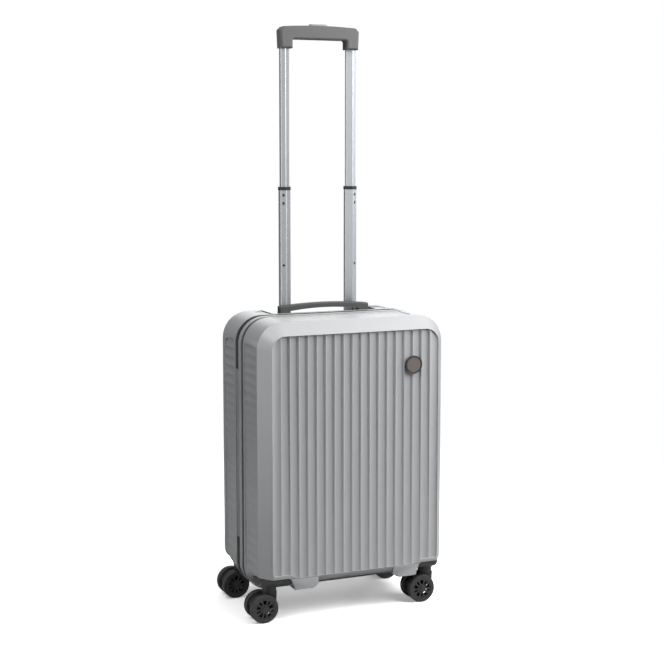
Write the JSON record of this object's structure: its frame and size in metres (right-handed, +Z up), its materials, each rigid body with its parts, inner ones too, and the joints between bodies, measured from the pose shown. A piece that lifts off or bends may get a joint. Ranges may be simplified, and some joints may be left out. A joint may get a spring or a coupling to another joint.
{
  "type": "hard shell cabin suitcase",
  "caption": "Ribbed hard shell suitcase on swivelling twin wheels, with a zip rim, a side hinge, a carry handle and a telescopic pull handle.",
  "frame": {"origin": "on the floor, under the middle of the case", "axes": "+Z up, the front panel faces -Y, the hinge side is at -X"},
  "size_m": [0.3743, 0.2296, 1.052],
  "materials": {
    "shell": "silver-grey satin polycarbonate with a fine metallic fleck",
    "rim_trim": "grey ribbed rim trim",
    "hinge_tape": "grey woven hinge tape",
    "zipper": "black woven tape with a nylon coil",
    "badge_ring": "black ring",
    "badge_face": "brushed taupe plate, blank",
    "pole": "satin anodised extrusion",
    "black_plastic": "moulded black nylon, fine grain",
    "grip": "dark grey moulded plastic, fine grain",
    "button": "light grey moulded plastic",
    "steel": "bright zinc-plated steel",
    "carry_handle": "dark grey soft-touch rubber",
    "lining": "grey woven polyester lining",
    "hub": "black moulded hub",
    "tyre": "dark grey soft polyurethane tread",
    "lock": "dark grey moulded lock housing",
    "dial": "grey ribbed number wheels",
    "slider": "gunmetal die-cast slider and pull"
  },
  "bodies": {
    "back_half": {"back_shell": "shell", "back_zipper": "zipper", "hinge_strip": "hinge_tape", "handle_tray": "black_plastic", "outer_pole_left": "pole", "outer_pole_right": "pole", "carry_posts": "black_plastic", "pole_foot": "black_plastic", "lining_board": "lining", "king_pins_back": "steel", "wheel_mount_back_left": "black_plastic", "wheel_mount_back_right": "black_plastic"},
    "front_half": {"front_shell": "shell", "rim_band": "rim_trim", "front_zipper": "zipper", "badge_ring": "badge_ring", "badge_face": "badge_face", "divider": "lining", "king_pins_front": "steel", "wheel_mount_front_left": "black_plastic", "wheel_mount_front_right": "black_plastic", "lock_housing": "lock"},
    "middle_stage": {"middle_pole_left": "pole", "middle_pole_right": "pole", "pole_collars": "black_plastic"},
    "inner_stage": {"inner_pole_left": "pole", "inner_pole_right": "pole", "grip": "grip"},
    "release": {"release_button": "button", "release_link": "steel"},
    "carry": {"carry_handle": "carry_handle"},
    "caster_front_left": {"fork_front_left": "black_plastic", "axle_front_left": "steel"},
    "wheel_front_left_front": {"hub_front_left_front": "hub", "tyre_front_left_front": "tyre"},
    "wheel_front_left_back": {"hub_front_left_back": "hub", "tyre_front_left_back": "tyre"},
    "caster_front_right": {"fork_front_right": "black_plastic", "axle_front_right": "steel"},
    "wheel_front_right_front": {"hub_front_right_front": "hub", "tyre_front_right_front": "tyre"},
    "wheel_front_right_back": {"hub_front_right_back": "hub", "tyre_front_right_back": "tyre"},
    "caster_back_left": {"fork_back_left": "black_plastic", "axle_back_left": "steel"},
    "wheel_back_left_front": {"hub_back_left_front": "hub", "tyre_back_left_front": "tyre"},
    "wheel_back_left_back": {"hub_back_left_back": "hub", "tyre_back_left_back": "tyre"},
    "caster_back_right": {"fork_back_right": "black_plastic", "axle_back_right": "steel"},
    "wheel_back_right_front": {"hub_back_right_front": "hub", "tyre_back_right_front": "tyre"},
    "wheel_back_right_back": {"hub_back_right_back": "hub", "tyre_back_right_back": "tyre"},
    "dial_1": {"lock_dial_1": "dial"},
    "dial_2": {"lock_dial_2": "dial"},
    "dial_3": {"lock_dial_3": "dial"},
    "slider_upper": {"zipper_slider_upper": "slider"},
    "slider_lower": {"zipper_slider_lower": "slider"}
  },
  "joints": [
    {"name": "lid_hinge", "type": "hinge", "parent": "back_half", "child": "front_half", "pos_m": [-0.1792, 0.017, 0.298], "axis": [0, 0, -1], "range_deg": [0, 150], "deforming": ["hinge_strip"]},
    {"name": "middle_slide", "type": "slide", "parent": "back_half", "child": "middle_stage", "axis": [0, 0, 1], "range_m": [-0.26, 0]},
    {"name": "inner_slide", "type": "slide", "parent": "middle_stage", "child": "inner_stage", "axis": [0, 0, 1], "range_m": [-0.247, 0]},
    {"name": "button_press", "type": "slide", "parent": "inner_stage", "child": "release", "axis": [0, 0, -1], "range_m": [0, 0.0025], "stiffness_N_per_m": 2000, "springref_m": -0.004},
    {"name": "carry_lift", "type": "slide", "parent": "back_half", "child": "carry", "axis": [0, 0, 1], "range_m": [0, 0.008]},
    {"name": "swivel_front_left", "type": "hinge", "parent": "front_half", "child": "caster_front_left", "pos_m": [-0.153, -0.0765, 0.056], "axis": [0, 0, 1], "continuous": true},
    {"name": "spin_front_left_front", "type": "hinge", "parent": "caster_front_left", "child": "wheel_front_left_front", "pos_m": [-0.168, -0.0765, 0.0254], "axis": [0, 1, 0], "continuous": true},
    {"name": "spin_front_left_back", "type": "hinge", "parent": "caster_front_left", "child": "wheel_front_left_back", "pos_m": [-0.168, -0.0765, 0.0254], "axis": [0, 1, 0], "continuous": true},
    {"name": "swivel_front_right", "type": "hinge", "parent": "front_half", "child": "caster_front_right", "pos_m": [0.153, -0.0765, 0.056], "axis": [0, 0, 1], "continuous": true},
    {"name": "spin_front_right_front", "type": "hinge", "parent": "caster_front_right", "child": "wheel_front_right_front", "pos_m": [0.138, -0.0765, 0.0254], "axis": [0, 1, 0], "continuous": true},
    {"name": "spin_front_right_back", "type": "hinge", "parent": "caster_front_right", "child": "wheel_front_right_back", "pos_m": [0.138, -0.0765, 0.0254], "axis": [0, 1, 0], "continuous": true},
    {"name": "swivel_back_left", "type": "hinge", "parent": "back_half", "child": "caster_back_left", "pos_m": [-0.153, 0.0765, 0.056], "axis": [0, 0, 1], "continuous": true},
    {"name": "spin_back_left_front", "type": "hinge", "parent": "caster_back_left", "child": "wheel_back_left_front", "pos_m": [-0.168, 0.0765, 0.0254], "axis": [0, 1, 0], "continuous": true},
    {"name": "spin_back_left_back", "type": "hinge", "parent": "caster_back_left", "child": "wheel_back_left_back", "pos_m": [-0.168, 0.0765, 0.0254], "axis": [0, 1, 0], "continuous": true},
    {"name": "swivel_back_right", "type": "hinge", "parent": "back_half", "child": "caster_back_right", "pos_m": [0.153, 0.0765, 0.056], "axis": [0, 0, 1], "continuous": true},
    {"name": "spin_back_right_front", "type": "hinge", "parent": "caster_back_right", "child": "wheel_back_right_front", "pos_m": [0.138, 0.0765, 0.0254], "axis": [0, 1, 0], "continuous": true},
    {"name": "spin_back_right_back", "type": "hinge", "parent": "caster_back_right", "child": "wheel_back_right_back", "pos_m": [0.138, 0.0765, 0.0254], "axis": [0, 1, 0], "continuous": true},
    {"name": "dial_1_turn", "type": "hinge", "parent": "front_half", "child": "dial_1", "pos_m": [0.1739, -0.02675, 0.301], "axis": [0, 0, 1], "continuous": true},
    {"name": "dial_2_turn", "type": "hinge", "parent": "front_half", "child": "dial_2", "pos_m": [0.1739, -0.02675, 0.31], "axis": [0, 0, 1], "continuous": true},
    {"name": "dial_3_turn", "type": "hinge", "parent": "front_half", "child": "dial_3", "pos_m": [0.1739, -0.02675, 0.319], "axis": [0, 0, 1], "continuous": true},
    {"name": "slider_upper_run", "type": "slide", "parent": "back_half", "child": "slider_upper", "axis": [0, 0, 1], "range_m": [-0.05, 0.085]},
    {"name": "slider_lower_run", "type": "slide", "parent": "back_half", "child": "slider_lower", "axis": [0, 0, 1], "range_m": [-0.15, 0.045]}
  ]
}
